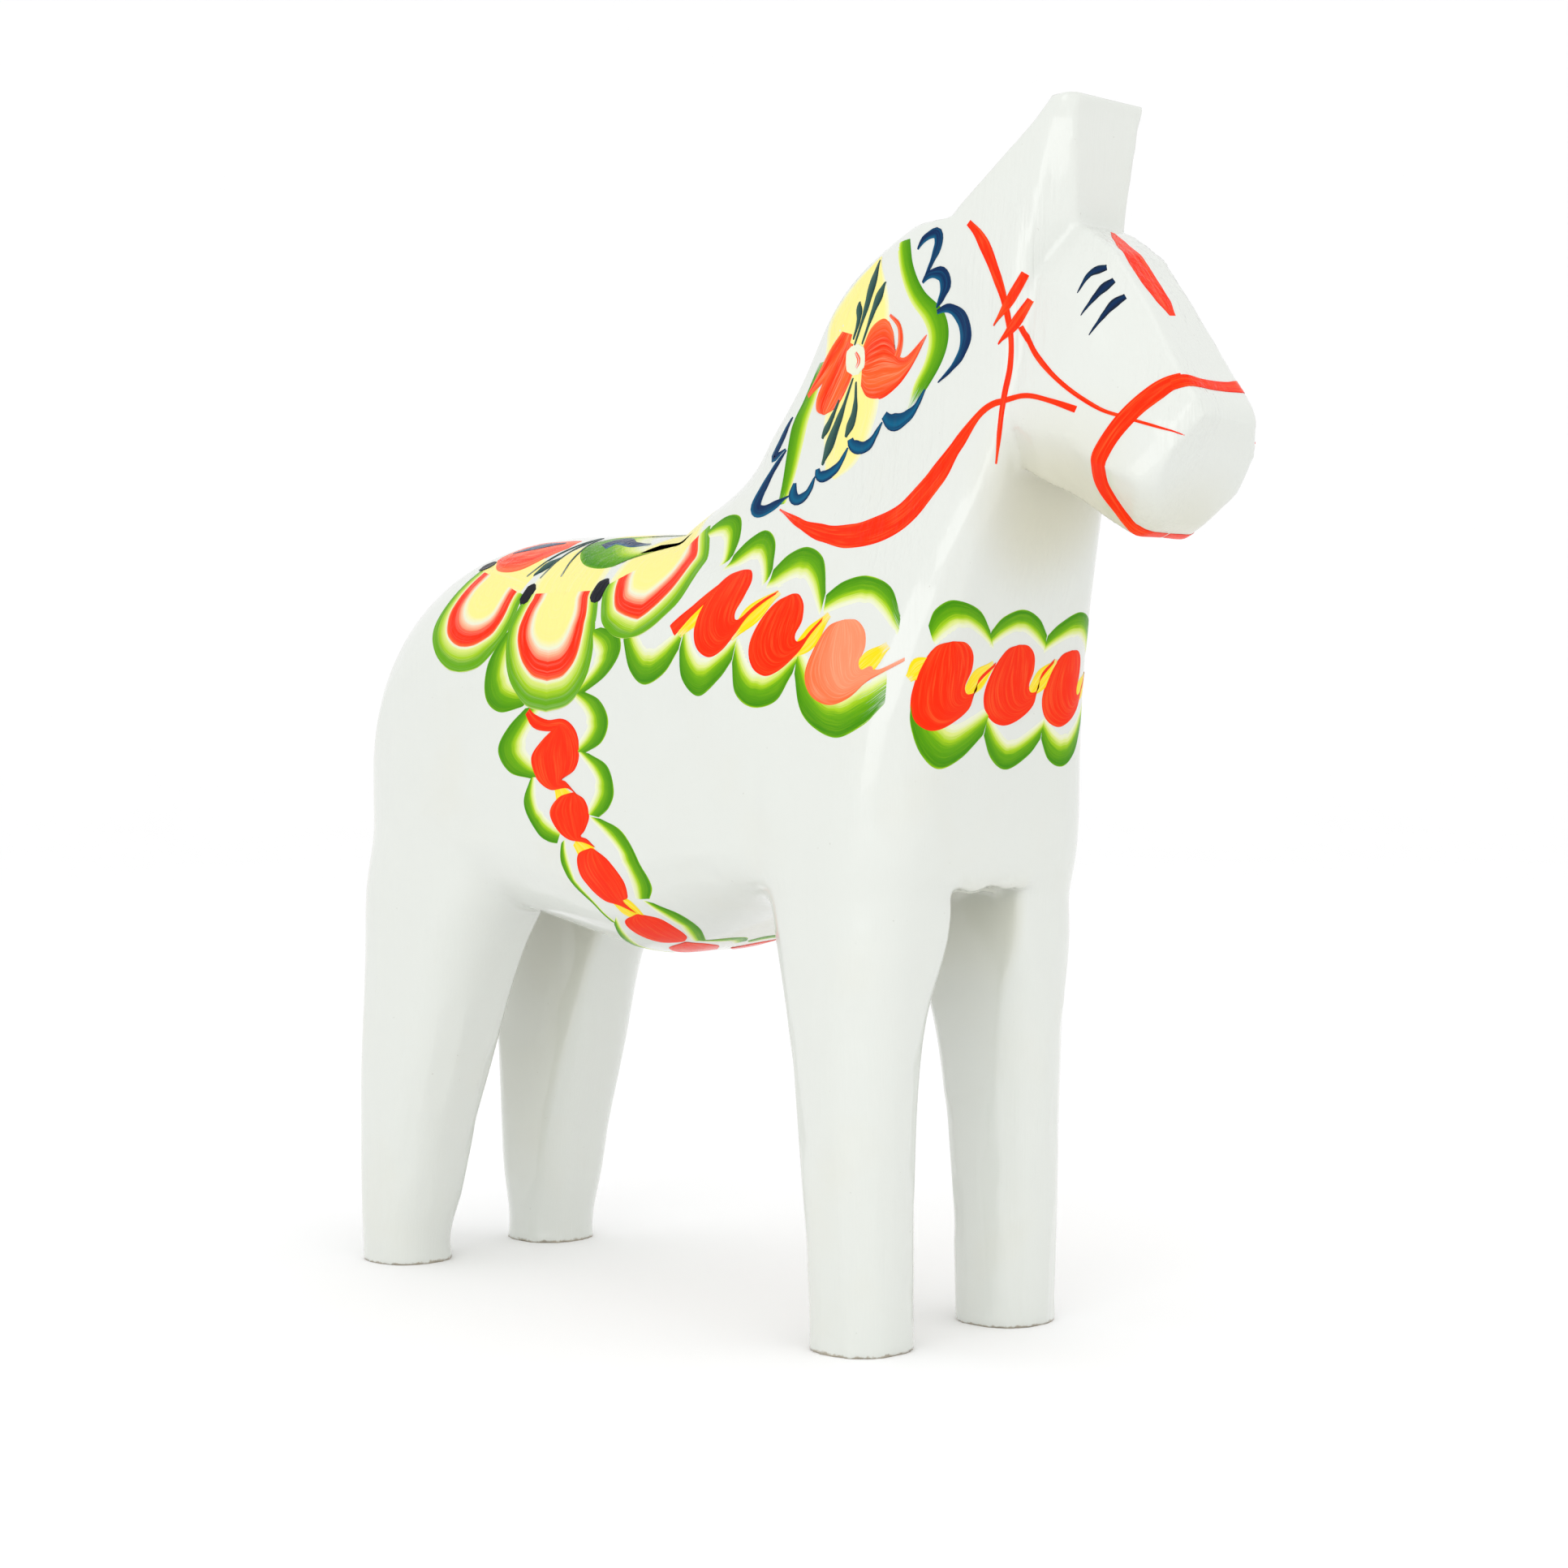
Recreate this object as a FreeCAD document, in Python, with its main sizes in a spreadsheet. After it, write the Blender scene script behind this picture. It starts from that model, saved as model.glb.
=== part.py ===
import FreeCAD, Part
import os

# A dala horse, carved from three pine planks that are glued side by side. The two side
# planks carry the legs, and the centre plank stops at the belly, so it leaves the straight
# slot between the left and the right legs. +X points to the head, +Y to the horse's left
# and +Z up. Sizes are in mm. The sections below count x from the middle between the four
# feet; each plank's Placement then moves the origin to the ground under the middle of the
# horse's overall length.

NODE_LABELS = ("right_side_plank", "centre_plank", "left_side_plank")
QUARTER_ELLIPSE_WEIGHT = 0.5 ** 0.5

SHEET_SIZES = {
    "overall_height": 251.0,
    "plank_length": 280.0,
    "plank_height": 260.0,
    "plank_ahead_of_feet": 20.0,
    "centre_plank_thickness": 20.0,
    "side_plank_thickness": 26.0,
    "body_half_width": 34.2,
    "foot_half_size": 10.1,
    "foot_centre_side": 22.3,
    "foot_centre_front": 75.4,
    "box_centre_ahead_of_feet": 32.3,
}


def make_sheet(doc):
    """Puts every driving size in a spreadsheet cell that has a plain-word alias."""
    sheet = doc.addObject("Spreadsheet::Sheet", "sizes")
    for row, (alias, value) in enumerate(SHEET_SIZES.items(), start=1):
        sheet.set(f"A{row}", alias)
        sheet.set(f"B{row}", str(value))
        sheet.setAlias(f"B{row}", alias)
    doc.recompute()
    return sheet


def rounded_ring(place, low, high, corners):
    """A closed ring of four straight runs and four elliptical corners.

    place turns a pair (u, v) into a point. corners holds the (u, v) radii of the corners
    at (high, high), (low, high), (low, low) and (high, low).
    """
    (u0, v0), (u1, v1) = low, high
    (a, b), (c, d), (e, f), (g, k) = corners
    tips = [(u1, v1), (u0, v1), (u0, v0), (u1, v0)]
    starts = [(u1, v1 - b), (u0 + c, v1), (u0, v0 + f), (u1 - g, v0)]
    ends = [(u1 - a, v1), (u0, v1 - d), (u0 + e, v0), (u1, v0 + k)]
    edges = []
    for corner in range(4):
        curve = Part.BezierCurve()
        poles = [starts[corner], tips[corner], ends[corner]]
        curve.setPoles([place(*pole) for pole in poles])
        curve.setWeight(2, QUARTER_ELLIPSE_WEIGHT)
        edges.append(curve.toShape())
        following = starts[(corner + 1) % 4]
        edges.append(Part.makeLine(place(*ends[corner]), place(*following)))
    return Part.Wire(edges)


def faceted_ring(half_outline):
    """A closed ring of straight runs from the left half of a flat outline, (x, y, z)."""
    left = [FreeCAD.Vector(x, y, z) for x, y, z in half_outline]
    right = [FreeCAD.Vector(x, -y, z) for x, y, z in reversed(half_outline)]
    return Part.makePolygon(left + right + left[:1])


# Trunk sections across the body, from the rump to the chest. Each row is the section's x,
# its half width as a part of the body's, its lowest and highest z, and the (y, z) radii of
# its upper and of its lower corners.
TRUNK_SECTIONS = (
    (-87.2, 0.56, 94.5, 126.5, (16.0, 24.0), (7.0, 4.0)),
    (-83.5, 0.76, 93.0, 138.6, (21.0, 27.0), (7.0, 4.0)),
    (-75.0, 0.91, 92.0, 152.2, (24.0, 25.0), (8.0, 6.0)),
    (-60.0, 0.98, 91.0, 164.5, (26.0, 25.0), (12.0, 8.0)),
    (-40.0, 1.00, 86.0, 170.6, (28.0, 27.0), (22.0, 18.0)),
    (-16.0, 0.99, 79.8, 171.2, (28.0, 28.0), (27.0, 24.0)),
    (5.0, 0.99, 76.8, 170.5, (28.0, 27.0), (28.0, 25.0)),
    (26.0, 1.00, 82.2, 169.4, (27.0, 27.0), (26.0, 22.0)),
    (49.5, 1.00, 89.0, 166.0, (26.0, 27.0), (18.0, 14.0)),
    (72.0, 0.93, 92.0, 154.0, (24.0, 30.0), (10.0, 8.0)),
    (84.0, 0.80, 92.0, 138.0, (16.0, 22.0), (8.0, 6.0)),
)

# Neck sections, level cuts from the shoulders up to the poll. Each row is the cut's z, the
# x of the crest and of the throat, the half width, and the (x, y) radii of the crest's
# corners and of the throat's corners.
NECK_SECTIONS = (
    (94.0, 46.0, 91.4, 34.6, (20.0, 24.0), (13.0, 15.0)),
    (106.0, 42.0, 93.5, 34.7, (20.0, 24.0), (14.0, 16.0)),
    (120.0, 34.0, 94.2, 33.8, (24.0, 26.0), (13.0, 16.0)),
    (140.0, 18.0, 97.2, 30.6, (28.0, 28.0), (12.0, 14.0)),
    (156.0, 6.0, 101.2, 26.4, (30.0, 25.0), (9.0, 11.0)),
    (166.0, 4.5, 104.2, 23.4, (30.0, 22.0), (7.0, 9.0)),
    (174.0, 17.0, 107.2, 20.6, (24.0, 19.0), (6.0, 7.0)),
    (184.0, 31.5, 110.4, 18.6, (19.0, 17.0), (5.0, 6.0)),
    (198.0, 43.5, 112.5, 17.5, (14.5, 15.0), (5.0, 6.0)),
    (212.0, 52.2, 113.8, 16.5, (13.5, 14.0), (5.0, 6.0)),
    (223.0, 63.4, 114.2, 15.5, (13.5, 13.0), (5.0, 6.0)),
    (229.5, 75.5, 114.6, 14.5, (13.5, 12.0), (5.0, 6.0)),
)

# Leg sections, level cuts from the sole up into the body. Each row is the cut's z, the
# leg's rear and front x as offsets from the foot's, how far the inner and the outer side
# move away from the foot's, and the radii of the outer and of the inner corners.
FRONT_LEG_SECTIONS = (
    (0.0, 0.0, 0.0, 0.0, 0.0, 8.7, 8.7),
    (14.0, -0.6, 0.5, 0.1, 0.0, 9.0, 8.9),
    (30.0, -1.9, 0.8, 0.2, 0.5, 9.5, 9.4),
    (50.0, -4.2, 1.6, 0.1, 0.9, 10.6, 9.6),
    (72.0, -7.6, 3.2, -1.3, 1.4, 11.6, 7.8),
    (88.0, -11.4, 4.8, -2.0, 1.8, 12.8, 2.5),
    (98.0, -13.6, 4.2, -2.0, 0.8, 13.5, 2.5),
    (110.0, -14.0, 0.5, -2.0, -3.0, 12.0, 2.5),
    (126.0, -11.0, -5.0, -2.0, -9.0, 9.0, 2.5),
)
HIND_LEG_SECTIONS = (
    (0.0, 0.0, 0.0, 0.0, 0.0, 8.7, 8.7),
    (14.0, -0.5, 2.2, -0.4, 0.4, 9.0, 8.8),
    (28.0, -0.5, 5.4, -1.0, 0.8, 9.4, 7.6),
    (48.0, -0.3, 11.6, -1.5, 1.2, 10.4, 6.4),
    (66.0, 0.0, 17.2, -1.9, 1.4, 12.2, 4.2),
    (80.0, -0.4, 24.0, -2.0, 1.7, 14.0, 3.0),
    (91.0, -1.0, 31.5, -2.0, 1.7, 15.5, 2.5),
    (102.0, -0.4, 34.0, -2.0, 0.3, 17.0, 2.5),
    (114.0, 4.0, 33.0, -2.0, -4.0, 14.0, 2.5),
    (128.0, 10.0, 28.0, -2.0, -10.0, 8.0, 2.5),
)

# Head sections, flat cuts that lean with the face. Each row is the (x, z) of the forehead
# and of the jaw on the centre line, then (part of the way down, half width) for the
# forehead's ridge, the cheek, the jaw's ridge and the underside.
HEAD_SECTIONS = (
    ((107.0, 228.5), (93.5, 186.0), ((0.0, 7.0), (0.30, 13.5), (0.80, 16.0), (1.0, 9.0))),
    ((121.8, 225.0), (110.0, 178.0), ((0.0, 7.4), (0.25, 12.8), (0.82, 17.0), (1.0, 12.5))),
    ((129.2, 219.6), (114.5, 175.6), ((0.0, 8.0), (0.25, 13.0), (0.80, 17.8), (1.0, 12.5))),
    ((137.2, 209.2), (121.5, 172.2), ((0.0, 8.2), (0.35, 13.5), (0.72, 18.0), (1.0, 11.0))),
    ((146.2, 194.8), (130.0, 166.4), ((0.0, 9.0), (0.30, 14.0), (0.66, 17.2), (1.0, 9.0))),
    ((150.4, 189.2), (134.4, 163.5), ((0.0, 8.8), (0.28, 13.8), (0.62, 15.8), (1.0, 7.6))),
    ((151.6, 185.6), (140.0, 166.0), ((0.0, 8.8), (0.34, 13.2), (0.68, 12.8), (1.0, 6.6))),
)

# Ear and poll sections, level cuts up to the flat tip. Each row is how far the cut lies
# below the tip, then (x, half width) for the front face, the side behind its chamfer, the
# side in front of the nape's chamfer, and the nape.
EAR_SECTIONS = (
    (37.0, (116.5, 6.5), (110.9, 14.5), (86.0, 15.2), (76.0, 8.0)),
    (25.0, (119.6, 7.2), (113.4, 14.0), (90.0, 14.6), (80.0, 7.5)),
    (19.5, (119.9, 7.8), (113.9, 13.6), (94.6, 14.2), (86.0, 7.0)),
    (4.5, (121.2, 9.9), (116.8, 12.1), (112.8, 12.2), (108.2, 6.6)),
    (0.0, (122.0, 10.6), (120.6, 11.9), (116.8, 11.6), (114.0, 7.0)),
)


def trunk_form(sizes):
    """The barrel of the body, from the rump to the chest, without neck and legs."""
    rings = []
    for x, width, z_low, z_high, upper, lower in TRUNK_SECTIONS:
        half = width * sizes.body_half_width
        rings.append(rounded_ring(
            lambda y, z, x=x: FreeCAD.Vector(x, y, z),
            (-half, z_low), (half, z_high), (upper, upper, lower, lower)))
    return Part.makeLoft(rings, True)


def neck_form():
    """The neck, which leans forward out of the shoulders."""
    rings = []
    for z, crest, throat, half, rear, front in NECK_SECTIONS:
        rings.append(rounded_ring(
            lambda x, y, z=z: FreeCAD.Vector(x, y, z),
            (crest, -half), (throat, half), (front, rear, rear, front)))
    return Part.makeLoft(rings, True)


def leg_form(sizes, sections, foot_x, side):
    """One leg. side is +1 for the left leg and -1 for the right leg."""
    foot = sizes.foot_half_size
    rings = []
    for z, rear, front, inner, outer, outer_radius, inner_radius in sections:
        y_inner = sizes.foot_centre_side - foot + inner
        y_outer = sizes.foot_centre_side + foot + outer
        wide = (outer_radius, outer_radius)
        tight = (inner_radius, inner_radius)
        rings.append(rounded_ring(
            lambda x, y, z=z: FreeCAD.Vector(x, side * y, z),
            (foot_x - foot + rear, y_inner), (foot_x + foot + front, y_outer),
            (wide, wide, tight, tight)))
    return Part.makeLoft(rings, True)


def head_form():
    """The head, with knife-cut planes for forehead, cheeks, jaw and muzzle."""
    rings = []
    for (top_x, top_z), (jaw_x, jaw_z), outline in HEAD_SECTIONS:
        rings.append(faceted_ring([
            (top_x + part * (jaw_x - top_x), half, top_z + part * (jaw_z - top_z))
            for part, half in outline]))
    return Part.makeLoft(rings, True, True)


def ear_form(sizes):
    """The poll and the two ears, which are left as one upright block."""
    rings = []
    for below_tip, *outline in EAR_SECTIONS:
        z = sizes.overall_height - below_tip
        rings.append(faceted_ring([(x, half, z) for x, half in outline]))
    return Part.makeLoft(rings, True, True)


def add_form(doc, name, shape):
    """A carved form as a document object, so that the booleans can refer to it."""
    form = doc.addObject("Part::Feature", name)
    form.Shape = shape
    return form


def carved_envelope(doc, sizes):
    """The whole outer surface that the carver's knife leaves, as one fused form."""
    forms = [
        add_form(doc, "trunk", trunk_form(sizes)),
        add_form(doc, "neck", neck_form()),
        add_form(doc, "head", head_form()),
        add_form(doc, "ears", ear_form(sizes)),
    ]
    legs = (("front", FRONT_LEG_SECTIONS, 1), ("hind", HIND_LEG_SECTIONS, -1))
    for pair, sections, direction in legs:
        foot_x = direction * sizes.foot_centre_front
        for hand, side in (("left", 1), ("right", -1)):
            shape = leg_form(sizes, sections, foot_x, side)
            forms.append(add_form(doc, f"{hand}_{pair}_leg", shape))
    envelope = doc.addObject("Part::MultiFuse", "carved_envelope")
    envelope.Shapes = forms
    return envelope


def add_blank(doc, name, thickness, right_face):
    """A sawn plank blank. right_face is the expression for the y of its right face."""
    blank = doc.addObject("Part::Box", name)
    blank.setExpression("Length", "sizes.plank_length")
    blank.setExpression("Height", "sizes.plank_height")
    blank.setExpression("Width", f"sizes.{thickness}")
    blank.setExpression("Placement.Base.x",
                        "sizes.plank_ahead_of_feet - sizes.plank_length / 2")
    blank.setExpression("Placement.Base.y", right_face)
    return blank


def add_planks(doc, envelope):
    """Carves each plank blank to the envelope. The planks meet at their glue faces."""
    half = "sizes.centre_plank_thickness / 2"
    blanks = (
        add_blank(doc, "right_blank", "side_plank_thickness",
                  f"-{half} - sizes.side_plank_thickness"),
        add_blank(doc, "centre_blank", "centre_plank_thickness", f"-{half}"),
        add_blank(doc, "left_blank", "side_plank_thickness", half),
    )
    planks = []
    for label, blank in zip(NODE_LABELS, blanks):
        plank = doc.addObject("Part::MultiCommon", label)
        plank.Shapes = [envelope, blank]
        plank.Label = label
        plank.setExpression("Placement.Base.x", "-sizes.box_centre_ahead_of_feet")
        planks.append(plank)
    return planks


def check_objects(doc, planks):
    """Stops the script if any object failed or any plank isn't one valid solid."""
    for item in doc.Objects:
        if "Invalid" in item.State or "Error" in item.State:
            raise RuntimeError(f"{item.Name} failed: {item.State}")
    for plank in planks:
        shape = plank.Shape
        if shape.isNull() or not shape.isValid() or len(shape.Solids) != 1:
            raise RuntimeError(f"{plank.Label} isn't one valid solid")


def main():
    doc = FreeCAD.newDocument("dala_horse")
    sheet = make_sheet(doc)
    envelope = carved_envelope(doc, sheet)
    planks = add_planks(doc, envelope)
    doc.recompute()
    check_objects(doc, planks)
    os.makedirs("parts", exist_ok=True)
    for plank in planks:
        plank.Shape.exportStep(f"parts/{plank.Label}.step")


main()
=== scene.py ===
import bpy
import bmesh
import math
import random
import numpy as np
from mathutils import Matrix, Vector, noise
from mathutils.bvhtree import BVHTree


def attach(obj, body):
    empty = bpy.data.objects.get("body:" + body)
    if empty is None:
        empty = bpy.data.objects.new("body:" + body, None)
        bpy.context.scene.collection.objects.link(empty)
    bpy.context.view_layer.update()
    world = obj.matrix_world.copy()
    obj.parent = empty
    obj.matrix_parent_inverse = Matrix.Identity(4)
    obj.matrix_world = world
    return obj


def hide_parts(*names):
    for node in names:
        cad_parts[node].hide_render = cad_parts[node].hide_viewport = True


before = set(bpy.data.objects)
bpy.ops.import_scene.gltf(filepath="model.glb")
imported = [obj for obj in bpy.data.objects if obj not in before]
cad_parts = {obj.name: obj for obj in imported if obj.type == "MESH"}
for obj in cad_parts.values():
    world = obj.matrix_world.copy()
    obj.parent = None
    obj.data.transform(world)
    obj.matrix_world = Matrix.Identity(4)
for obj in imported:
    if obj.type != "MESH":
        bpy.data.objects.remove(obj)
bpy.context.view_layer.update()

# A white dala horse with hand-painted flowers. Lengths are in metres in the part's own frame:
# +X is the horse's head, +Y its left, +Z up. The tables of places are in millimetres.
MM = 0.001
SLOT = "white_lacquered_pine"
PLANKS = ("right_side_plank", "centre_plank", "left_side_plank")
GLUE_FACE_Y = 10.0 * MM     # the planks meet at this distance to each side of the middle
rng = random.Random(1923)


def new_object(name, data):
    """An object in the scene that holds the data."""
    made = bpy.data.objects.new(name, data)
    bpy.context.scene.collection.objects.link(made)
    return made


# -------- node helpers

def node(tree, kind, inputs=None, **settings):
    """Adds a shader node. inputs maps a socket to a value or to another node's output."""
    made = tree.nodes.new("ShaderNode" + kind)
    for name, value in settings.items():
        setattr(made, name, value)
    for key, value in (inputs or {}).items():
        if isinstance(value, bpy.types.NodeSocket):
            tree.links.new(value, made.inputs[key])
        else:
            made.inputs[key].default_value = value
    return made


def maths(tree, operation, first, second=0.0, clamp=False):
    """The output of a Math node."""
    made = node(tree, "Math", {0: first, 1: second}, operation=operation, use_clamp=clamp)
    return made.outputs[0]


def times(tree, first, second):
    """The product of two values."""
    return maths(tree, "MULTIPLY", first, second)


def remap(tree, value, low, high, to_low=0.0, to_high=1.0):
    """The output of a smooth Map Range node."""
    made = node(tree, "MapRange",
                {"Value": value, "From Min": low, "From Max": high,
                 "To Min": to_low, "To Max": to_high}, interpolation_type="SMOOTHSTEP")
    return made.outputs["Result"]


def blend_colour(tree, factor, first, second):
    """The output of a Mix node for colours."""
    made = node(tree, "Mix", {0: factor, 6: first, 7: second}, data_type="RGBA")
    return made.outputs[2]


def stretched(tree, upright=1.0):
    """Object coordinates. An upright scale under 1 draws a texture out along Z."""
    place = node(tree, "TexCoord").outputs["Object"]
    return node(tree, "Mapping", {"Vector": place, "Scale": (1.0, 1.0, upright)}).outputs[0]


def speckle(tree, vector, scale, detail=2.0, roughness=0.5, distortion=0.0):
    """The value of a noise texture."""
    return node(tree, "TexNoise",
                {"Vector": vector, "Scale": scale, "Detail": detail,
                 "Roughness": roughness, "Distortion": distortion}).outputs["Fac"]


def bump(tree, height, strength, distance, below=None):
    """The normal of a bump node, on top of another bump where there is one."""
    inputs = {"Height": height, "Strength": strength, "Distance": distance}
    if below is not None:
        inputs["Normal"] = below
    return node(tree, "Bump", inputs).outputs["Normal"]


def feed(tree, shader, colour, roughness, normal):
    """Links a shader's colour, roughness and normal."""
    for name, value in (("Base Color", colour), ("Roughness", roughness), ("Normal", normal)):
        tree.links.new(value, shader.inputs[name])


def start_material(name):
    """A material that holds only the clear glossy lacquer's shader."""
    material = bpy.data.materials.new(name)
    material.use_nodes = True
    tree = material.node_tree
    tree.nodes.clear()
    shader = node(tree, "BsdfPrincipled",
                  {"IOR": 1.49, "Coat Weight": 0.55, "Coat Roughness": 0.06,
                   "Coat IOR": 1.5, "Specular IOR Level": 0.42})
    output = node(tree, "OutputMaterial")
    tree.links.new(shader.outputs[0], output.inputs["Surface"])
    return material, tree, shader


# -------- the white lacquer

WHITE = (0.680, 0.702, 0.662, 1.0)
WARM_WHITE = (0.67, 0.676, 0.61, 1.0)
# the darker, warmer white of the painted shade in the slot and under the throat
PAINTED_SHADE_YELLOW = (0.60, 0.59, 0.47, 1.0)


def white_colour(tree):
    """The white oil paint's colour, with faint cloudy patches and thin warm places."""
    plain = stretched(tree)
    clouds = speckle(tree, plain, 38.0, 3.0)
    warm = remap(tree, clouds, 0.50, 0.78, 0.0, 0.5)
    colour = blend_colour(tree, warm, WHITE, WARM_WHITE)
    specks = speckle(tree, plain, 900.0, 1.0)
    dust = remap(tree, specks, 0.79, 0.83, 0.0, 0.35)
    return blend_colour(tree, dust, colour, (0.40, 0.38, 0.33, 1.0))


def lacquer_roughness(tree):
    """The clear lacquer's gloss, a little duller in broad smears."""
    smears = speckle(tree, stretched(tree, 0.4), 55.0, 3.0, 0.6)
    return remap(tree, smears, 0.3, 0.75, 0.13, 0.27)


def lacquer_bump(tree):
    """Slow waves of the knife work, raised wood grain, and fine brush marks on top."""
    waves = speckle(tree, stretched(tree, 0.55), 75.0, 1.0)
    normal = bump(tree, waves, 0.5, 0.5 * MM)
    grain = speckle(tree, stretched(tree, 0.035), 620.0, 2.0, 0.6, 0.15)
    where = speckle(tree, stretched(tree, 0.6), 42.0, 1.0)
    place = node(tree, "TexCoord").outputs["Object"]
    up = node(tree, "SeparateXYZ", {0: place}).outputs["Z"]
    neck = remap(tree, up, 128 * MM, 175 * MM, 0.12, 1.0)
    patches = times(tree, remap(tree, where, 0.38, 0.62, 0.1, 1.0), neck)
    ridges = times(tree, grain, patches)
    normal = bump(tree, ridges, 0.8, 0.6 * MM, normal)
    brush = speckle(tree, stretched(tree, 0.12), 2400.0, 1.0)
    return bump(tree, brush, 0.18, 0.05 * MM, normal)


def white_material():
    """Gloss white oil paint under clear lacquer.

    It has painted shade, a darker and warmer white, in the slot between the legs and under
    the throat, and it is worn to bare wood at the edges of the soles.
    """
    material, tree, shader = start_material(SLOT)
    place = node(tree, "TexCoord").outputs["Object"]
    _, side, up = node(tree, "SeparateXYZ", {0: place}).outputs
    # painted shade: a darker, warmer white in the slot between the legs and under the throat
    inner = remap(tree, maths(tree, "ABSOLUTE", side), 12.5 * MM, 9.0 * MM)
    slot = times(tree, inner, remap(tree, up, 99 * MM, 88 * MM))
    throat_at = (88 * MM, 0.0, 170 * MM)
    away = node(tree, "VectorMath", {0: place, 1: throat_at},
                operation="DISTANCE").outputs["Value"]
    throat_shade = remap(tree, away, 29 * MM, 14 * MM)
    painted_shade = maths(tree, "MAXIMUM", times(tree, slot, 0.55), throat_shade)
    colour = blend_colour(tree, painted_shade, white_colour(tree), PAINTED_SHADE_YELLOW)
    ragged = speckle(tree, stretched(tree), 420.0, 3.0, 0.65)
    edge = maths(tree, "SUBTRACT", times(tree, ragged, 2.2 * MM), up)
    worn = remap(tree, edge, 0.35 * MM, 0.85 * MM)
    grey = blend_colour(tree, speckle(tree, stretched(tree), 260.0, 3.0),
                        (0.23, 0.21, 0.17, 1.0), (0.52, 0.47, 0.37, 1.0))
    colour = blend_colour(tree, worn, colour, grey)
    rough = maths(tree, "MAXIMUM", lacquer_roughness(tree), times(tree, worn, 0.7))
    feed(tree, shader, colour, rough, lacquer_bump(tree))
    return material


# -------- the carved skin

VOXEL = 0.85 * MM
OVERLAP = 0.05 * MM     # how far each plank is pushed into its neighbour before remeshing
CUT_REACH = 16 * MM     # how far a knife cut reaches from its middle
CUT_RIM = 6 * MM        # the outer part of that reach, where the cut runs out
CUT_SEAT = 3.5 * MM     # the radius of the patch that sets a cut's slope


def joined_planks():
    """One rough mesh that holds the surfaces of the three planks, slightly overlapping."""
    points, faces = [], []
    for plank in PLANKS:
        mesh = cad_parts[plank].data
        start = len(points)
        for vertex in mesh.vertices:
            glued = abs(abs(vertex.co.y) - GLUE_FACE_Y) < 0.01 * MM
            outward = math.copysign(OVERLAP if glued else 0.0, vertex.co.y)
            shift = outward if plank == "centre_plank" else -outward
            points.append(vertex.co + Vector((0.0, shift, 0.0)))
        faces += [[start + i for i in polygon.vertices] for polygon in mesh.polygons]
    mesh = bpy.data.meshes.new("planks")
    mesh.from_pydata(points, [], faces)
    bm = bmesh.new()
    bm.from_mesh(mesh)
    bmesh.ops.remove_doubles(bm, verts=bm.verts, dist=0.002 * MM)
    bm.to_mesh(mesh)
    bm.free()
    return mesh


def remeshed(mesh):
    """The mesh rebuilt in even small faces."""
    rough = new_object("rough", mesh)
    voxels = rough.modifiers.new("voxels", "REMESH")
    voxels.mode = "VOXEL"
    voxels.voxel_size = VOXEL
    graph = bpy.context.evaluated_depsgraph_get()
    even = bpy.data.meshes.new_from_object(rough.evaluated_get(graph))
    bpy.data.objects.remove(rough)
    return even


def read_points(mesh):
    """A mesh's vertex places and normals as arrays."""
    places = np.empty(len(mesh.vertices) * 3)
    mesh.vertices.foreach_get("co", places)
    normals = np.empty(len(mesh.vertices) * 3, dtype=np.float32)
    mesh.vertices.foreach_get("normal", normals)
    return places.reshape(-1, 3), normals.reshape(-1, 3).astype(float)


def write_points(mesh, places):
    """Moves a mesh's vertices to the places."""
    mesh.vertices.foreach_set("co", places.ravel())
    mesh.update()


def relaxed(mesh, places, rounds, keep=0.53, where=1.0):
    """Smooths the places. keep holds the form's size, and where says how much at each."""
    ends = np.empty(len(mesh.edges) * 2, dtype=np.int64)
    mesh.edges.foreach_get("vertices", ends)
    a, b = ends.reshape(-1, 2).T
    count = len(places)
    valence = np.maximum(np.bincount(np.concatenate([a, b]), minlength=count), 1)

    def step(now, amount):
        mean = np.empty_like(now)
        for axis in range(3):
            mean[:, axis] = (np.bincount(a, now[b, axis], count)
                             + np.bincount(b, now[a, axis], count)) / valence
        return now + amount * (mean - now)

    for _ in range(rounds):
        places = places + where * (step(step(places, 0.5), -keep) - places)
    return places


def bite_depth(place):
    """How deep a knife cut goes in millimetres. There are none near the leg joints."""
    x, y, z = place / MM
    joint = 78 < z < 102 and (20 < x < 52 or -80 < x < -45 or abs(y) < 14)
    if z < 6 or z > 249 or joint:
        return 0.0
    if z < 85:                  # the legs
        return rng.uniform(0.08, 0.27)
    if z > 165 and x > 70:      # the head
        return rng.uniform(0.08, 0.30)
    if z > 130 and x > 10:      # the neck
        return rng.uniform(0.12, 0.40)
    return rng.uniform(0.05, 0.20)


def shaved(places, normals, cuts=560):
    """Flat knife cuts all over, which the paint later softens."""
    picker = np.random.default_rng(7)
    for seed in picker.choice(len(places), cuts, replace=False):
        depth = bite_depth(places[seed]) * MM
        if depth == 0.0:
            continue
        away = np.linalg.norm(places - places[seed], axis=1)
        near = away < CUT_REACH
        mean = normals[away < CUT_SEAT].mean(axis=0)
        mean /= np.linalg.norm(mean)
        tilt = np.array([rng.uniform(-0.02, 0.02) for _ in range(3)])
        flat = mean + tilt
        flat /= np.linalg.norm(flat)
        facing = normals @ mean > 0.6
        height = (places - places[seed]) @ flat + depth
        taken = near & facing & (height > 0)
        if height[taken].max(initial=0.0) > depth + 0.5 * MM:
            continue
        fade = np.clip((CUT_REACH - away[taken]) / CUT_RIM, 0, 1)
        places[taken] -= flat * (height[taken] * fade)[:, None]
    return places


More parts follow.
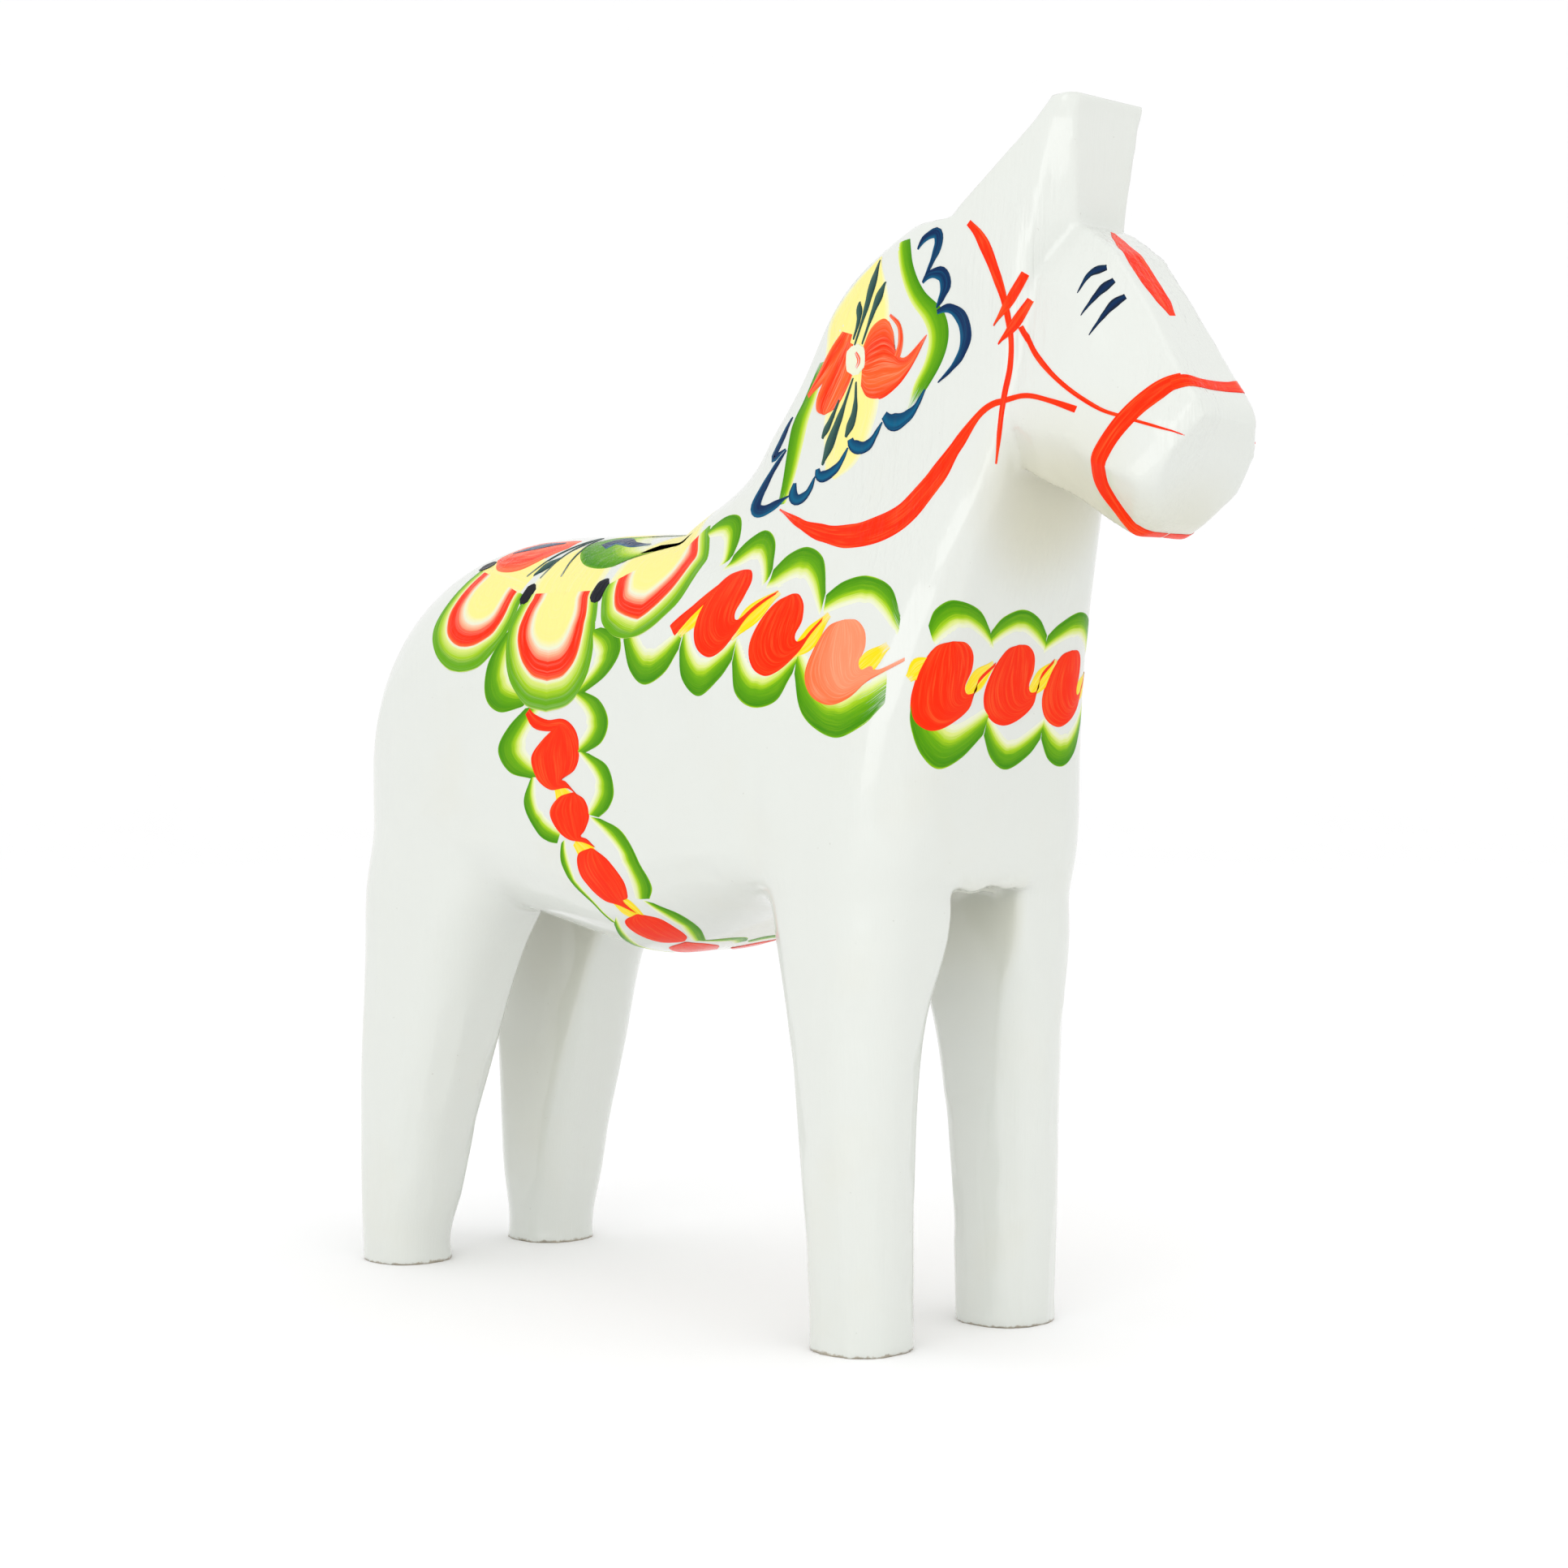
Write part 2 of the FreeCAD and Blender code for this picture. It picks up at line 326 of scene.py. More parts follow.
def rough_slot_edges(places, normals):
    """The ragged saw and gouge marks at the roof of the slot between the legs."""
    x, y, z = (places / MM).T
    roof = (np.abs(y) < 11.5) & (z > 86) & (z < 97) & (normals[:, 2] < -0.25)
    roof &= (x > 47) | (x < -105)
    for index in np.nonzero(roof)[0]:
        place = Vector(places[index])
        wave = noise.noise(place * 260.0) + 0.5 * noise.noise(place * 620.0)
        places[index] += normals[index] * wave * 0.7 * MM
    return places


def carved_skin():
    """The whole outer surface: the planks' form with the marks of knife and saw."""
    skin = remeshed(joined_planks())
    places = relaxed(skin, read_points(skin)[0], 3)
    write_points(skin, places)
    places, _ = read_points(skin)
    x, y, z = (places / MM).T
    joint = np.exp(-((z - 96) / 11) ** 2) * np.clip((np.abs(y) - 12) / 4, 0, 1)
    muzzle = np.clip((x - 97) / 9, 0, 1) * np.clip((z - 150) / 10, 0, 1)
    jaw = np.clip((x - 80) / 9, 0, 1) * np.exp(-((z - 176) / 9) ** 2)
    places = relaxed(skin, places, 70, 0.0, joint[:, None])
    places = relaxed(skin, places, 9, 0.0, np.maximum(muzzle, 0.6 * jaw)[:, None])
    write_points(skin, places)
    places, normals = read_points(skin)
    places = shaved(places, normals)
    places = rough_slot_edges(places, normals)
    places = relaxed(skin, places, 2)
    sole = (places[:, 2] < 0.5 * MM) & (normals[:, 2] < -0.8)
    places[sole, 2] = 0.0
    places[:, 2] = np.maximum(places[:, 2], 0.0)
    write_points(skin, places)
    skin.shade_smooth()
    return skin


class Surface:
    """Finds places and smooth normals on the carved skin."""

    def __init__(self, mesh):
        self.points = [v.co.copy() for v in mesh.vertices]
        self.normals = [v.normal.copy() for v in mesh.vertices]
        self.faces = [tuple(p.vertices) for p in mesh.polygons]
        self.tree = BVHTree.FromPolygons(self.points, self.faces)

    def smooth_normal(self, place, face):
        """The mean of a face's corner normals, by nearness."""
        total = Vector((0.0, 0.0, 0.0))
        for index in self.faces[face]:
            weight = 1.0 / ((self.points[index] - place).length + 1e-6)
            total += self.normals[index] * weight
        return total.normalized()

    def nearest(self, place):
        """The skin's nearest place and its normal."""
        found, _, face, _ = self.tree.find_nearest(place)
        return found, self.smooth_normal(found, face)

    def cast(self, start, direction):
        """The first place a ray meets, or the nearest place where it meets nothing."""
        found = self.tree.ray_cast(start, direction)[0]
        return self.nearest(start)[0] if found is None else found


def new_piece(name, mesh, *planks):
    """Adds a finished piece that rides on the horse, in the place of any planks named."""
    piece = new_object(name, mesh)
    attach(piece, "root")
    if planks:
        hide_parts(*planks)


def plank_skin(plank, skin, surface, material):
    """One plank's closed body, cut out of the carved skin at its glue faces."""
    bm = bmesh.new()
    bm.from_mesh(skin)
    cuts = {"right_side_plank": ((-GLUE_FACE_Y, 1),),
            "centre_plank": ((-GLUE_FACE_Y, -1), (GLUE_FACE_Y, 1)),
            "left_side_plank": ((GLUE_FACE_Y, -1),)}
    caps = []
    for y, side in cuts[plank]:
        everything = bm.verts[:] + bm.edges[:] + bm.faces[:]
        cut = bmesh.ops.bisect_plane(bm, geom=everything, dist=1e-7, plane_co=(0, y, 0),
                                     plane_no=(0, side, 0), clear_outer=True)
        rim = [item for item in cut["geom_cut"] if isinstance(item, bmesh.types.BMEdge)]
        for edge in rim:
            edge.smooth = False
        filled = bmesh.ops.holes_fill(bm, edges=rim, sides=0)["faces"]
        caps += bmesh.ops.triangulate(bm, faces=filled)["faces"]
    for face in caps:
        face.smooth = False
    bmesh.ops.recalc_face_normals(bm, faces=bm.faces)
    mesh = bpy.data.meshes.new(plank)
    bm.to_mesh(mesh)
    bm.free()
    keep_smooth(mesh, surface)
    mesh.materials.append(material)
    new_piece(plank + "_carved", mesh, plank)


def keep_smooth(mesh, surface):
    """Gives the cut mesh the uncut skin's normals, so that no seam shows."""
    wanted = [surface.nearest(vertex.co)[1] for vertex in mesh.vertices]
    mesh.normals_split_custom_set(
        [wanted[index] if polygon.use_smooth else polygon.normal.copy()
         for polygon in mesh.polygons for index in polygon.vertices])


skin = carved_skin()
surface = Surface(skin)
white = white_material()
for plank in PLANKS:
    plank_skin(plank, skin, surface, white)


# -------- brush strokes

ROW = 0.6 * MM              # length of a stroke's mesh faces along the stroke
COLUMN = 0.7 * MM           # and about their width across it
FILM = 0.06 * MM            # how far the first layer of paint stands proud of the skin
FILM_STEP = 0.028 * MM      # and how much more each layer over it
SUNK = -0.04 * MM           # the height of a film's rim, just under the skin
PAINT_DEPTH = 0.14 * MM     # how far a film's underside lies under the skin
CM = 10 * MM                # the paints' textures run in centimetres


def smooth_line(knots, count):
    """Points at even steps along a smooth curve through the knots."""
    knots = np.array([tuple(k) for k in knots])
    ends = np.vstack([2 * knots[0] - knots[1], knots, 2 * knots[-1] - knots[-2]])
    fine = []
    for i in range(len(knots) - 1):
        p0, p1, p2, p3 = ends[i:i + 4]
        t = np.linspace(0, 1, 24, endpoint=False)[:, None]
        fine.append(0.5 * (2 * p1 + (p2 - p0) * t + (2 * p0 - 5 * p1 + 4 * p2 - p3) * t ** 2
                           + (3 * p1 - p0 - 3 * p2 + p3) * t ** 3))
    fine = np.vstack(fine + [knots[-1:]])
    run = np.concatenate([[0], np.cumsum(np.linalg.norm(np.diff(fine, axis=0), axis=1))])
    even = np.linspace(0, run[-1], count)
    return np.stack([np.interp(even, run, fine[:, axis]) for axis in range(3)], axis=1)


def rows_for(*strokes):
    """How many rows of faces the longest of these strokes needs."""
    rough = [smooth_line(knots, 60) for knots in strokes]
    longest = max(np.linalg.norm(np.diff(line, axis=0), axis=1).sum() for line in rough)
    return max(9, int(longest / ROW))


def eased(values, count):
    """The values spread over count steps, with soft turns between them."""
    if len(values) == 1:
        return np.full(count, float(values[0]))
    at = np.linspace(0, len(values) - 1, count)
    first = np.minimum(at.astype(int), len(values) - 2)
    part = at - first
    part = part * part * (3 - 2 * part)
    values = np.array(values, dtype=float)
    return values[first] * (1 - part) + values[first + 1] * part


def nested_depth(widths, across, steps):
    """How deep each grid point lies inside a petal: 0 on its outline, 1 at its heart.

    The rings are the outline itself, shrunk towards the heart, and found by halving the
    gap between a ring outside the point and one inside it. steps says how far down the
    petal each row lies, from 0 at its open base to 1 at its tip.
    """
    heart = 0.08
    far = np.maximum(steps - heart, 0) / (1 - heart)
    s = far[:, None]
    reach = np.abs(2 * across - 1)[None, :] * widths[:, None]
    low, high = np.full(reach.shape, 1e-3), np.ones(reach.shape)
    for _ in range(22):
        middle = (low + high) / 2
        room = middle * np.interp(np.minimum(s / middle, 1).ravel(), far,
                                  widths).reshape(reach.shape)
        inside = (s <= middle) & (reach <= room)
        high = np.where(inside, middle, high)
        low = np.where(inside, low, middle)
    return 1 - high


class Motif:
    """Brush strokes on the horse that become one painted piece.

    Places are in millimetres for the horse's right side: (x, z) is a place seen from the
    side, (x, y, z) the skin's nearest place. hand is 1 for the right and -1 for the left.
    A paint is named by its key in oils, and a higher layer lies over a lower one.
    """

    def __init__(self, name, hand=1):
        self.name, self.hand = name, hand
        self.points, self.normals, self.faces, self.face_paint = [], [], [], []
        self.brush, self.dose, self.paints = [], [], []

    def spot(self, place):
        """The skin's point for a place from the tables."""
        if len(place) == 2:
            start = Vector((place[0], -60 * self.hand, place[1])) * MM
            return surface.cast(start, Vector((0, self.hand, 0)))
        x, y, z = place
        return surface.nearest(Vector((x, y * self.hand, z)) * MM)[0]

    def patch(self, edge_a, edge_b, paint, **finish):
        """Fills the space between two edges that run the same way."""
        a = [self.spot(p) for p in edge_a]
        b = [self.spot(p) for p in edge_b]
        count = rows_for(a, b)
        self.fill(smooth_line(a, count), smooth_line(b, count), paint, **finish)

    def line(self, path, half_widths, paint, **finish):
        """One pull of the brush along a path, with its half width at even steps."""
        knots = [self.spot(p) for p in path]
        count = rows_for(knots)
        middle = smooth_line(knots, count)
        halves = eased(half_widths, count) * MM
        ahead = np.gradient(middle, axis=0)
        a, b = middle.copy(), middle.copy()
        for i in range(count):
            _, normal = surface.nearest(Vector(middle[i]))
            left = normal.cross(Vector(ahead[i])).normalized() * self.hand
            a[i] += np.array(left) * halves[i]
            b[i] -= np.array(left) * halves[i]
        self.fill(a, b, paint, **finish)

    def scallop(self, outline, **finish):
        """A leaf edge: a crisp outer outline whose green fades towards its middle."""
        fading, past_middle, at_cusps = 0.86, 0.22, 0.75    # parts of the way inwards
        outer = [self.spot(p) for p in outline]
        middle = outer[0].lerp(outer[-1], 0.5)
        fall = middle - outer[len(outer) // 2]
        middle += past_middle * fall
        inside = []
        for i, place in enumerate(outer):
            swell = math.sin(math.pi * i / (len(outer) - 1))
            inside.append(place.lerp(middle, fading) * swell
                          + (place + at_cusps * fall) * (1 - swell))
        count = rows_for(outer)
        self.fill(smooth_line(outer, count), smooth_line(inside, count), "scallop",
                  soft=True, **finish)

    def fill(self, line_a, line_b, paint, layer=1, soft=False, doses=(1.0,), petal=False,
             wobble=0.10):
        """A closed thin film of paint between two lines of equal count.

        doses says how well the paint covers at even steps along it, soft lets the film run
        out towards the second line, and petal rings its colours round the outline.
        """
        count = len(line_a)
        shift = rng.uniform(0, 60)
        span = line_b - line_a
        widths = np.linalg.norm(span, axis=1)
        for i in range(count):
            wave, other = (noise.noise(Vector((i * 0.09 + shift, shift, lane)))
                           for lane in (0.3, 7.3))
            amount = wobble * MM * min(1.0, widths[i] / (2.5 * MM))
            along = span[i] / max(widths[i], 1e-9)
            line_a[i] -= along * wave * amount
            line_b[i] += along * other * amount
        widths = np.linalg.norm(line_b - line_a, axis=1)
        columns = max(4, int(widths.max() / COLUMN) + 2)
        across = np.concatenate([[0.0], np.linspace(0.03, 0.97, columns), [1.0]])
        dose = eased(doses, count)
        run = np.concatenate([[0], np.cumsum(np.linalg.norm(np.diff(
            (line_a + line_b) / 2, axis=0), axis=1))])
        depth = np.tile(across, (count, 1))
        if petal:
            depth = nested_depth(widths, across, run / run[-1])
        run = run / CM + shift
        full = FILM + FILM_STEP * layer
        start = len(self.points)
        bottoms = []
        for i in range(count):
            for j, v in enumerate(across):
                place, normal = surface.nearest(Vector(line_a[i] + (line_b[i] - line_a[i]) * v))
                height = full
                if soft:
                    height = SUNK + (full - SUNK) * min(1.0, (1 - v) / 0.4)
                if j in (0, len(across) - 1) or i in (0, count - 1):
                    height = SUNK
                self.points.append(place + normal * height)
                self.normals.append(normal)
                bottoms.append((place - normal * PAINT_DEPTH, -normal))
                self.brush.append((run[i], depth[i, j]))
                self.dose.append((dose[i], widths.max() / CM))
        size = len(bottoms)
        self.points += [place for place, _ in bottoms]
        self.normals += [normal for _, normal in bottoms]
        self.brush += self.brush[-size:]
        self.dose += self.dose[-size:]
        self.close(start, count, len(across), size, paint)

    def close(self, start, count, wide, size, paint):
        """Faces for the film's top, its underside and its rim."""
        middle = start + (count // 2) * wide + wide // 2
        side_step = self.points[middle + 1] - self.points[middle]
        long_step = self.points[middle + wide] - self.points[middle]
        outward = long_step.cross(side_step).dot(self.normals[middle]) > 0
        quads = []
        for i in range(count - 1):
            for j in range(wide - 1):
                p = start + i * wide + j
                quads.append((p, p + wide, p + wide + 1, p + 1))
                quads.append((p + size, p + size + 1, p + size + wide + 1, p + size + wide))
        loop = [start + i * wide for i in range(count)]
        loop += [start + (count - 1) * wide + j for j in range(1, wide)]
        loop += [start + i * wide + wide - 1 for i in range(count - 2, -1, -1)]
        loop += [start + j for j in range(wide - 2, 0, -1)]
        for here, there in zip(loop, loop[1:] + loop[:1]):
            quads.append((there, here, here + size, there + size))
        if not outward:
            quads = [quad[::-1] for quad in quads]
        self.faces += quads
        if paint not in self.paints:
            self.paints.append(paint)
        self.face_paint += [self.paints.index(paint)] * len(quads)

    def finish(self):
        """Turns the strokes into a piece of the horse."""
        mesh = bpy.data.meshes.new(self.name)
        mesh.from_pydata(self.points, [], self.faces)
        for paint in self.paints:
            mesh.materials.append(oils[paint])
        mesh.polygons.foreach_set("material_index", self.face_paint)
        mesh.shade_smooth()
        corners = np.empty(len(mesh.loops), dtype=np.int64)
        mesh.loops.foreach_get("vertex_index", corners)
        for name, values in (("brush", self.brush), ("dose", self.dose)):
            layer = mesh.uv_layers.new(name=name)
            layer.data.foreach_set("uv", np.array(values)[corners].ravel())
        mesh.normals_split_custom_set_from_vertices(self.normals)
        mesh.update()
        new_piece(self.name, mesh)


# -------- oil colours

RED = (0.87, 0.022, 0.001, 1.0)
RED_LIGHT = (0.90, 0.125, 0.025, 1.0)
SALMON = (0.92, 0.255, 0.125, 1.0)
PINK = (0.88, 0.42, 0.25, 1.0)
GREEN = (0.045, 0.235, 0.002, 1.0)
GREEN_MID = (0.12, 0.36, 0.003, 1.0)
LIME = (0.36, 0.58, 0.012, 1.0)
LIME_PALE = (0.66, 0.74, 0.20, 1.0)
CREAM = (0.76, 0.78, 0.60, 1.0)
YELLOW_PALE = (0.86, 0.78, 0.26, 1.0)
YELLOW = (0.88, 0.66, 0.006, 1.0)
NAVY = (0.003, 0.022, 0.085, 1.0)
TEAL = (0.003, 0.11, 0.22, 1.0)
LEAF_DARK = (0.010, 0.045, 0.048, 1.0)
LEAF_GREY = (0.055, 0.125, 0.10, 1.0)
INK = (0.008, 0.009, 0.014, 1.0)
INK_SOFT = (0.03, 0.035, 0.06, 1.0)


def oil_paint(name, stops, light, streak, lift):
    """Streaky artist's oil paint.

    stops holds (place across the stroke, colour). The bristles shift those places by up to
    half of streak, and mix in the light colour by up to lift.
    """
    bristles_per_cm, dryness = 34.0, 1.2
    material, tree, shader = start_material(name)
    shader.inputs["Specular IOR Level"].default_value = 0.06
    shader.inputs["Coat Weight"].default_value = 0.05
    brush = node(tree, "UVMap", uv_map="brush").outputs[0]
    dose = node(tree, "UVMap", uv_map="dose").outputs[0]
    along, across, _ = node(tree, "SeparateXYZ", {0: brush}).outputs
    cover, width, _ = node(tree, "SeparateXYZ", {0: dose}).outputs
    bristle = times(tree, across, times(tree, width, bristles_per_cm))
    hair = node(tree, "CombineXYZ", {0: times(tree, along, 1.3), 1: bristle})
    fine = speckle(tree, hair.outputs[0], 1.0, 3.0, 0.6, 0.2)
    tuft = node(tree, "CombineXYZ", {0: times(tree, along, 0.8), 1: times(tree, bristle, 0.3)})
    broad = speckle(tree, tuft.outputs[0], 1.0, 1.0)
    uneven = maths(tree, "SUBTRACT", fine, 0.5)
    place = maths(tree, "ADD", across, times(tree, uneven, streak), clamp=True)
    ramp = node(tree, "ValToRGB", {"Fac": place})
    elements = ramp.color_ramp.elements
    while len(elements) < len(stops):
        elements.new(0.5)
    for element, (position, colour) in zip(elements, stops):
        element.position = position
        element.color = colour
    mixed = maths(tree, "ADD", times(tree, fine, 0.6), times(tree, broad, 0.4))
    lifted = times(tree, remap(tree, mixed, 0.46, 0.68), lift)
    colour = blend_colour(tree, lifted, ramp.outputs["Color"], light)
    bare = maths(tree, "ADD", cover, times(tree, uneven, dryness))
    kept = remap(tree, bare, 0.30, 0.62)
    feed(tree, shader, blend_colour(tree, kept, white_colour(tree), colour),
         lacquer_roughness(tree), bump(tree, fine, 0.25, 0.06 * MM, lacquer_bump(tree)))
    return material


def oil_colours():
    """Every mixed colour that the painter uses: a name, stops, light, streak and lift."""
    fade = ((0.0, LIME), (0.02, GREEN_MID), (0.07, GREEN), (0.42, GREEN_MID),
            (0.55, LIME), (0.66, LIME_PALE), (0.80, CREAM), (1.0, CREAM))
    petal = ((0.0, LIME_PALE), (0.015, GREEN_MID), (0.10, GREEN_MID), (0.17, LIME),
             (0.235, LIME_PALE), (0.27, CREAM), (0.28, RED_LIGHT), (0.32, RED), (0.43, RED),
             (0.50, PINK), (0.55, CREAM), (0.62, YELLOW_PALE), (1.0, YELLOW_PALE))
    mixes = {
        "scallop": ("green_fading_to_cream", fade, LIME, 0.20, 0.15),
        "petal": ("ringed_petal", petal, CREAM, 0.05, 0.12),
        "red": ("scarlet", ((0.0, RED), (1.0, RED)), RED_LIGHT, 0.1, 0.60),
        "salmon": ("thinned_scarlet", ((0.0, RED_LIGHT), (0.5, SALMON), (1.0, SALMON)), PINK,
                   0.3, 0.5),
        "flame": ("orange_red", ((0.0, RED_LIGHT), (0.3, RED), (0.75, RED_LIGHT), (1.0, RED)),
                  PINK, 0.5, 0.45),
        "green": ("leaf_green", ((0.0, GREEN), (0.5, GREEN_MID), (0.68, LIME),
                                 (0.82, LIME_PALE), (1.0, CREAM)), LIME, 0.1, 0.1),
        "navy": ("navy", ((0.0, NAVY), (0.6, NAVY), (1.0, TEAL)), TEAL, 0.3, 0.5),
        "teal": ("teal", ((0.0, NAVY), (0.35, TEAL), (1.0, NAVY)), TEAL, 0.4, 0.5),
        "leaf": ("dark_leaf", ((0.0, LEAF_DARK), (1.0, LEAF_GREY)), LEAF_GREY, 0.5, 0.4),
        "ink_blue": ("ink_blue", ((0.0, INK), (0.5, NAVY), (1.0, INK)), TEAL, 0.4, 0.25),
        "ink": ("ink", ((0.0, INK), (1.0, INK)), INK_SOFT, 0.1, 0.4),
        "yellow": ("bright_yellow", ((0.0, YELLOW), (1.0, YELLOW)), YELLOW_PALE, 0.1, 0.6),
        "wash": ("pale_yellow", ((0.0, CREAM), (0.12, YELLOW_PALE), (0.88, YELLOW_PALE),
                                 (1.0, CREAM)), CREAM, 0.12, 0.25),
        "cream": ("cream", ((0.0, CREAM), (1.0, CREAM)), WARM_WHITE, 0.1, 0.3),
    }
    return {key: oil_paint(*mix) for key, mix in mixes.items()}


oils = oil_colours()

# -------- the painted motifs

def from_side(x, z):
    """A place seen from the side."""
    return (x, z)


def bead(motif, bottom, height, wide, lean, tail, axes=from_side, doses=(1, 1, 1, 0.8),
         paint="red"):
    """A red comma: a full belly that swings up into a thin tail.

    bottom is the (u, z) of its lowest point, and tail is its tip on a form one unit high.
    axes turns (u, z) into a place.
    """
    tail_u, tail_z = tail
    outer = ((0, 1), (-0.20, 0.92), (-0.38, 0.66), (-0.48, 0.34), (-0.38, 0.09),
             (-0.12, -0.02), (0.16, 0.06), (0.38, 0.24), (0.66 * tail_u, 0.66 * tail_z),
             (tail_u, tail_z))
    inner = ((0, 1), (0.17, 0.99), (0.30, 0.87), (0.33, 0.68), (0.28, 0.50),
             (0.33, 0.41), (0.44, 0.45), (0.60 * tail_u + 0.06, 0.80 * tail_z),
             (tail_u, tail_z + 0.04))

    def placed(form):
        return [axes(bottom[0] + height * (wide * u + lean * z), bottom[1] + height * z)
                for u, z in form]

    motif.patch(placed(outer), placed(inner), paint, layer=2, doses=doses)


def breast_band_side(name, hand):
    """Two rows of green leaf edges with red commas between them, on one shoulder."""
    band = Motif(name, hand)
    upper = (
        ((-2.6, -21.2, 170.1), (2, -20.5, 172.2), (6.5, -21.3, 171.8), (8, -23, 167.5),
         (7.2, -24.2, 163.4)),
        ((7.2, 163.4), (11, 166.8), (15.5, 168.6), (19.2, 166), (20.3, 160)),
        ((20.3, 159.8), (24.4, 163.2), (29.5, 164.4), (34.8, 161.5), (37.3, 154.3)),
        ((37.3, 154), (41.9, 156.8), (48, 157.6), (55, 155), (59, 149)),
    )
    lower = (
        ((-17.1, 146.2), (-15, 139.4), (-10, 136.2), (-3.5, 138.5), (1.2, 143.6)),
        ((1.3, 143.6), (2, 137.4), (7.1, 133.5), (13.3, 137), (17.1, 141)),
        ((17, 140.6), (18.2, 134), (23.2, 131), (29.6, 132.4), (33, 138)),
        ((33.3, 138), (36.5, 129.2), (45.7, 124.8), (53, 127.2), (57, 131.8)),
    )
    for edge in upper + lower:
        faint = edge[0][0] > 30
        band.scallop(edge, doses=(1, 0.95, 0.85, 0.55) if faint else (1,))
    for x, z, wide, tall in ((5, 151, 4.5, 5), (20, 150.2, 4, 5), (35.5, 145.6, 4, 4.5),
                             (52.5, 140, 4.5, 3.5)):
        band.line(
            ((x - wide, z - tall), (x, z), (x + wide, z + tall)), (0.8, 2.6, 0.8), "yellow",
            doses=(0.5, 1, 0.5))
    band.line(((-1.8, 147.4), (4.5, 152.6), (10.5, 158.4)), (1.6, 1.1, 0.7), "red", layer=2)
    bead(band, (11.8, 142), 18.2, 0.78, 0, (0.84, 0.70))
    bead(band, (28, 137.8), 16.8, 0.80, -0.04, (0.78, 0.66))
    bead(band, (45.6, 131.6), 17.2, 1.16, -0.12, (0.78, 0.50), paint="salmon",
         doses=(1, 1, 0.9, 0.55))
    band.finish()


def breast_band_front():
    """The band's middle run, across the chest."""
    band = Motif("breast_band_front")

    def chest(y, z):
        return (66, y, z)

    upper = (
        ((-26.8, 146.7), (-24.5, 150.3), (-20, 152.4), (-13.5, 150.7), (-9.1, 146.3)),
        ((-9.1, 146.3), (-6, 149.6), (-0.6, 151.4), (5, 149.6), (8.6, 145.9)),
        ((8.6, 145.9), (12, 148.8), (17.5, 151.3), (24, 149.4), (27.5, 145)),
    )
    lower = (
        ((-30, 132), (-29.8, 127), (-26, 121.4), (-20, 118.2), (-13, 120.4), (-6.8, 125)),
        ((-6.8, 125), (-4, 120.2), (1, 118), (7.6, 120.8), (11.2, 124.3)),
        ((11.2, 124.3), (14, 120), (19, 118.6), (25, 121.8), (29.5, 128)),
    )
    for edge in upper + lower:
        band.scallop([chest(y, z) for y, z in edge])
    for y, z, tall in ((-10.5, 136.2, 3.6), (9.2, 136.6, 4), (25.5, 135, 3), (-28, 138, 2)):
        band.line(
            (chest(y - 4.2, z - tall), chest(y, z), chest(y + 4.2, z + tall)), (0.8, 2.4, 0.8),
            "yellow", doses=(0.5, 1, 0.5))
    bead(band, (-20.6, 126), 18, 1.22, 0.06, (0.64, 0.74), chest)
    bead(band, (0.8, 127.2), 16.6, 1.10, -0.03, (0.66, 0.80), chest)
    bead(band, (18.2, 127), 16, 1.02, -0.05, (0.74, 0.68), chest)
    band.finish()


def saddle_side(name, hand):
    """Three ringed petals that hang from the back, with leaf tips under them."""
    saddle = Motif(name, hand)
    grounds = (
        (((-78, -25.5, 161), (-70, -28.5, 159), (-56, -30, 157)),
         ((-72, -17, 168), (-62, -20, 167.5), (-53, -24, 165))),
        (((-53, -31, 155), (-52, -24, 165), (-42, -12, 171), (-36, -2, 172.5)),
         ((-29, -31, 155), (-30, -24, 164), (-31, -13, 170.5), (-30, -2, 172))),
        (((-27, -31, 154.5), (-27, -24, 163), (-22, -14, 169.5), (-14, -3, 171)),
         ((-6, -31, 156), (-6, -25, 164), (-6, -17, 169), (-5, -4, 171))),
    )
    for rear_edge, fore_edge in grounds:
        saddle.patch(rear_edge, fore_edge, "wash", layer=0)
    saddle.scallop(((-57, 148.5), (-63, 141.5), (-63.8, 134), (-59, 130.6), (-51.5, 131.8)))
    saddle.scallop(((-25, 149), (-18.8, 147.4), (-18, 143.5), (-22.5, 138.8), (-31, 134.6)))
    saddle.patch(
        ((-77.5, -23.5, 163.6), (-81.5, -29.2, 158), (-84.5, -33, 150.5), (-82.2, -34, 144.5),
         (-77.5, 140.8), (-72.8, 139.9)),
        ((-54, 157), (-56, 149.6), (-60.5, 144.6), (-65.5, 141.2), (-69.5, 140.1),
         (-72.8, 139.9)), "petal", layer=2, petal=True)
    saddle.patch(
        ((-28, 158), (-27, 153.6), (-24.8, 149.6), (-21, 147), (-16.8, 146.2)),
        ((-3.2, -19.5, 170.6), (-0.4, -24.5, 164.5), (-1, -31, 155), (-6, -33, 150),
         (-11.5, 147), (-16.8, 146.2)), "petal", layer=2, petal=True)
    saddle.patch(
        ((-53.4, 157.5), (-57, 147.5), (-56, 138.5), (-51, 132.4), (-43.5, 130.6)),
        ((-29, 157.5), (-26.7, 148.5), (-29.4, 138.5), (-35.5, 132.4), (-43.5, 130.6)), "petal",
        layer=3, petal=True)
    for x, z, half, tall in ((-53.2, 157.1, 1.7, 2.6), (-29.2, 157, 2, 3)):
        saddle.line(
            ((x - 0.7, z - tall), (x, z), (x + 0.7, z + tall)), (0.35, half, half, half, 0.35),
            "ink", layer=5)
    saddle.line(
        ((-79, -22.8, 163.6), (-76.4, -23.1, 164.6), (-73.4, -22.8, 165.5)),
        (0.5, 1.6, 1.6, 0.6), "ink", layer=5)
    saddle.finish()


